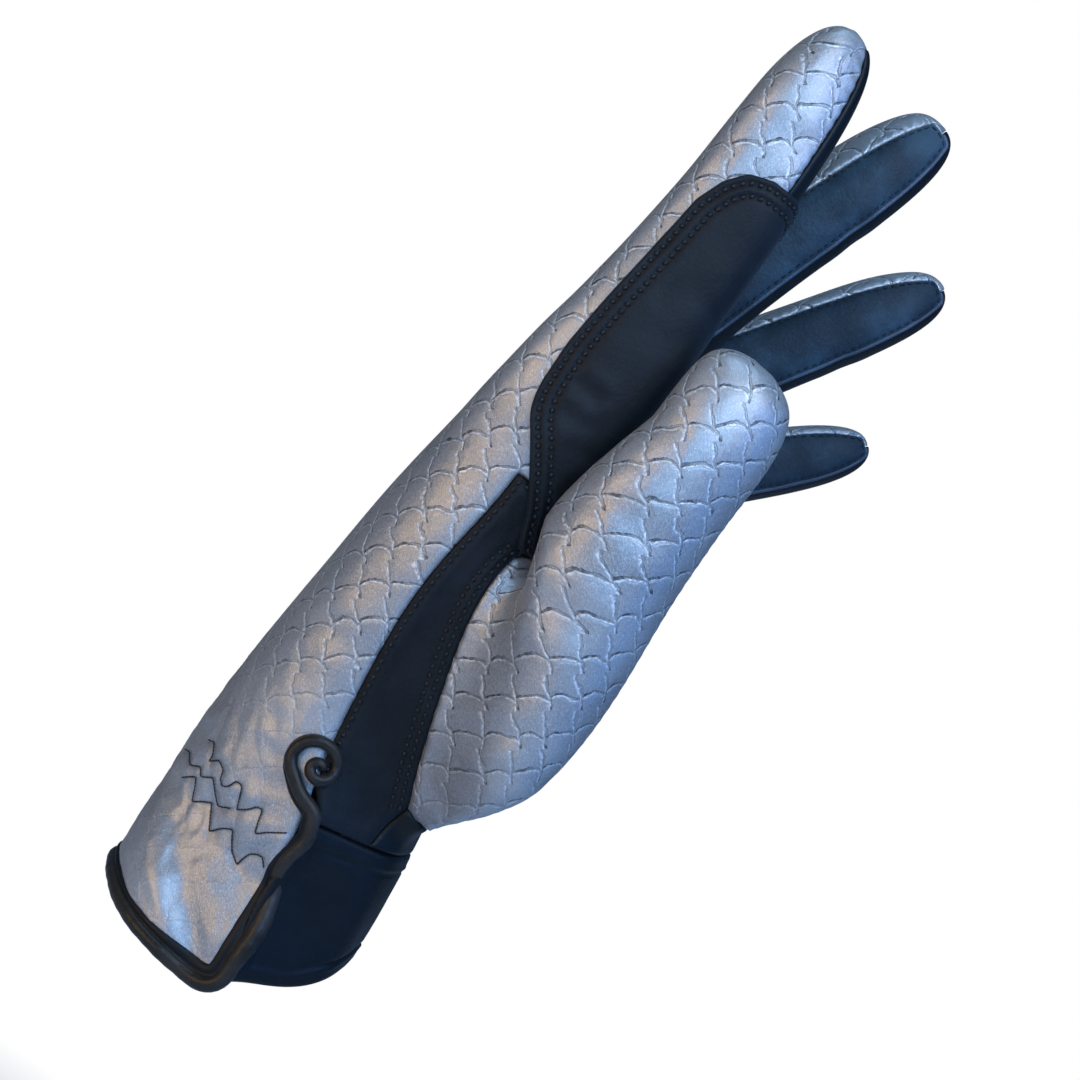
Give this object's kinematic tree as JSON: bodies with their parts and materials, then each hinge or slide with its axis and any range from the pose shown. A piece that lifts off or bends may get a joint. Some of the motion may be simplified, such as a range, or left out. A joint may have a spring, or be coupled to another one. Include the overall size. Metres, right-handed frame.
{
  "type": "horse riding glove",
  "caption": "Left riding glove as worn: scale-embossed fabric back and thumb, leather palm, finger sides, gusset, patch and cuff band, bound wrist vent.",
  "frame": {"origin": "middle of the wrist opening, where the hand goes in", "axes": "+Z from the wrist towards the fingertips, -X the back of the hand, +X the palm, -Y the thumb side, +Y the little finger's side"},
  "size_m": [0.0829, 0.0933, 0.2341],
  "materials": {
    "scale_fabric": "metallic satin, embossed scales",
    "black_leather": "soft matt grain",
    "black_binding": "rolled edge tape"
  },
  "bodies": {
    "root": {"back_panel": "scale_fabric", "thumb_back": "scale_fabric", "thumb_palm": "black_leather", "palm_panel": "black_leather", "side_gusset": "black_leather", "cuff_band": "black_leather", "fourchette_index_middle": "black_leather", "fourchette_middle_ring": "black_leather", "fourchette_ring_little": "black_leather", "index_patch": "black_leather", "edge_binding": "black_binding"}
  },
  "joints": []
}
